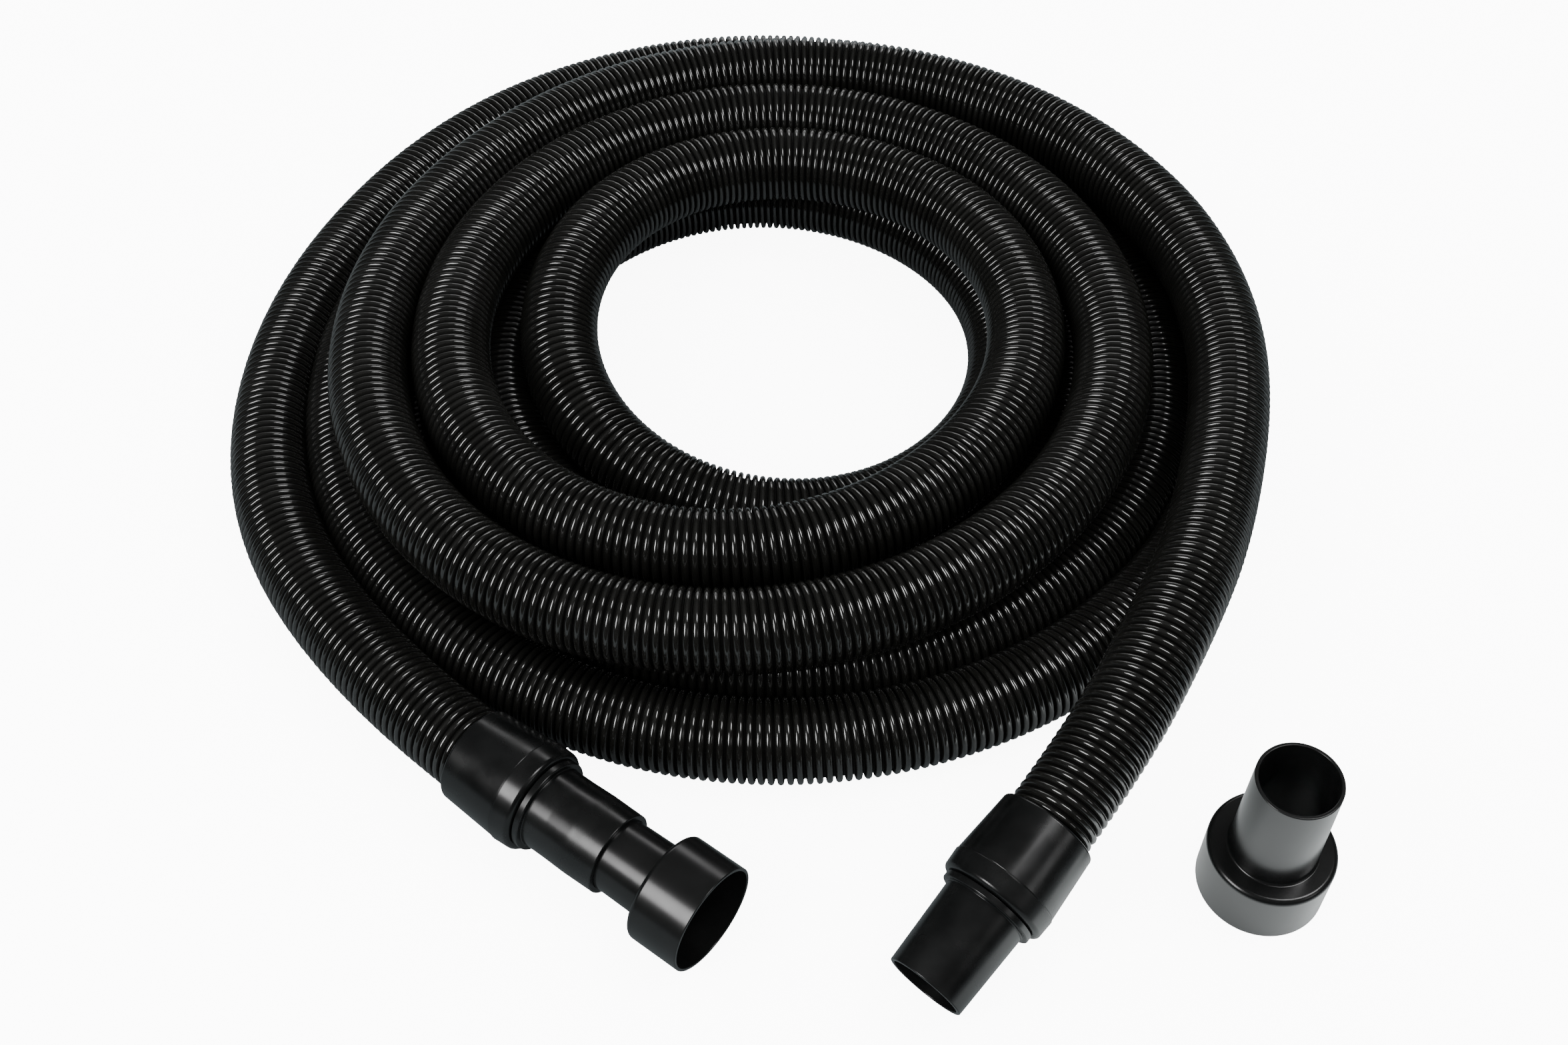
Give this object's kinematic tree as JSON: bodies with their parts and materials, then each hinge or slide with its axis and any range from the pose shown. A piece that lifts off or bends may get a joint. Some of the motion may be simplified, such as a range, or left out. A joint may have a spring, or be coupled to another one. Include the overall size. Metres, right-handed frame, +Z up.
{
  "type": "vacuum hose",
  "caption": "Long corrugated vacuum hose in a flat coil, with a swivel cuff and nozzle at each end and reducing adapters, one fitted and one loose.",
  "frame": {"origin": "on the surface the hose lies on, under the middle of the box round the cuffs, nozzles and adapters", "axes": "+Z up; +X to the right and +Y away, seen from the side where the two ends come out of the coil"},
  "size_m": [0.621, 0.7302, 0.0941],
  "materials": {
    "hose": "glossy blow-moulded polyethylene, fine helical corrugation",
    "cuff": "satin soft vinyl",
    "nozzle": "satin soft vinyl",
    "adapter": "satin moulded plastic with glossy edges",
    "ferrule": "plain moulded",
    "bearing": "plain black acetal",
    "seal": "dull"
  },
  "bodies": {
    "hose": {"hose_coil": "hose", "hose_lead_a": "hose", "hose_lead_b": "hose", "cuff_shell_a": "cuff", "cuff_shell_b": "cuff", "ferrule_a": "ferrule", "ferrule_b": "ferrule", "swivel_race_a": "bearing", "swivel_race_b": "bearing", "seal_washer_a": "seal", "seal_washer_b": "seal"},
    "nozzle_a": {"nozzle_a": "nozzle", "retaining_ring_a": "bearing"},
    "nozzle_b": {"nozzle_b": "nozzle", "retaining_ring_b": "bearing"},
    "adapter_fitted": {"adapter_fitted": "adapter"},
    "adapter_loose": {"adapter_loose": "adapter"}
  },
  "joints": [
    {"name": "swivel_a", "type": "hinge", "parent": "hose", "child": "nozzle_a", "pos_m": [-0.1649, 0.02728, 0.02843], "axis": [0.7991, -0.6013, 0.0019], "continuous": true},
    {"name": "swivel_b", "type": "hinge", "parent": "hose", "child": "nozzle_b", "pos_m": [0.04625, -0.03032, 0.03139], "axis": [-0.6339, -0.7318, -0.2504], "continuous": true},
    {"name": "adapter_pull", "type": "slide", "parent": "nozzle_a", "child": "adapter_fitted", "axis": [0.7991, -0.6013, 0.0019], "range_m": [0, 0.06]},
    {"name": "adapter_lift", "type": "slide", "parent": "hose", "child": "adapter_loose", "axis": [0, 0, 1], "range_m": [0, 0.3]}
  ]
}
